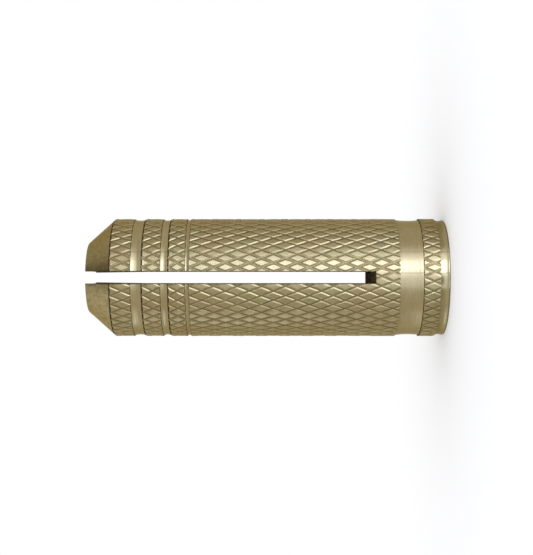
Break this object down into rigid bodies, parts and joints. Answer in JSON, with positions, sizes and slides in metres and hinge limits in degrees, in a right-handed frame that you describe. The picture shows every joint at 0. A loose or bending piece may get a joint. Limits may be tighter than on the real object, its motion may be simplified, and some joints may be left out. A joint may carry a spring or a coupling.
{
  "type": "slotted knurled brass expansion anchor",
  "caption": "Knurled brass sleeve with an internal thread and crossed slots, pushed into a drilled hole and spread against its wall by a bolt.",
  "frame": {"origin": "centre of the flat mouth face, where the bolt goes in", "axes": "+Z along the sleeve's axis from the mouth to the slotted tip; X and Y run through the crossed slots"},
  "size_m": [0.01, 0.01, 0.03],
  "materials": {
    "brass": "machined and knurled brass, slightly dull"
  },
  "bodies": {
    "root": {"anchor_sleeve": "brass"}
  },
  "joints": []
}
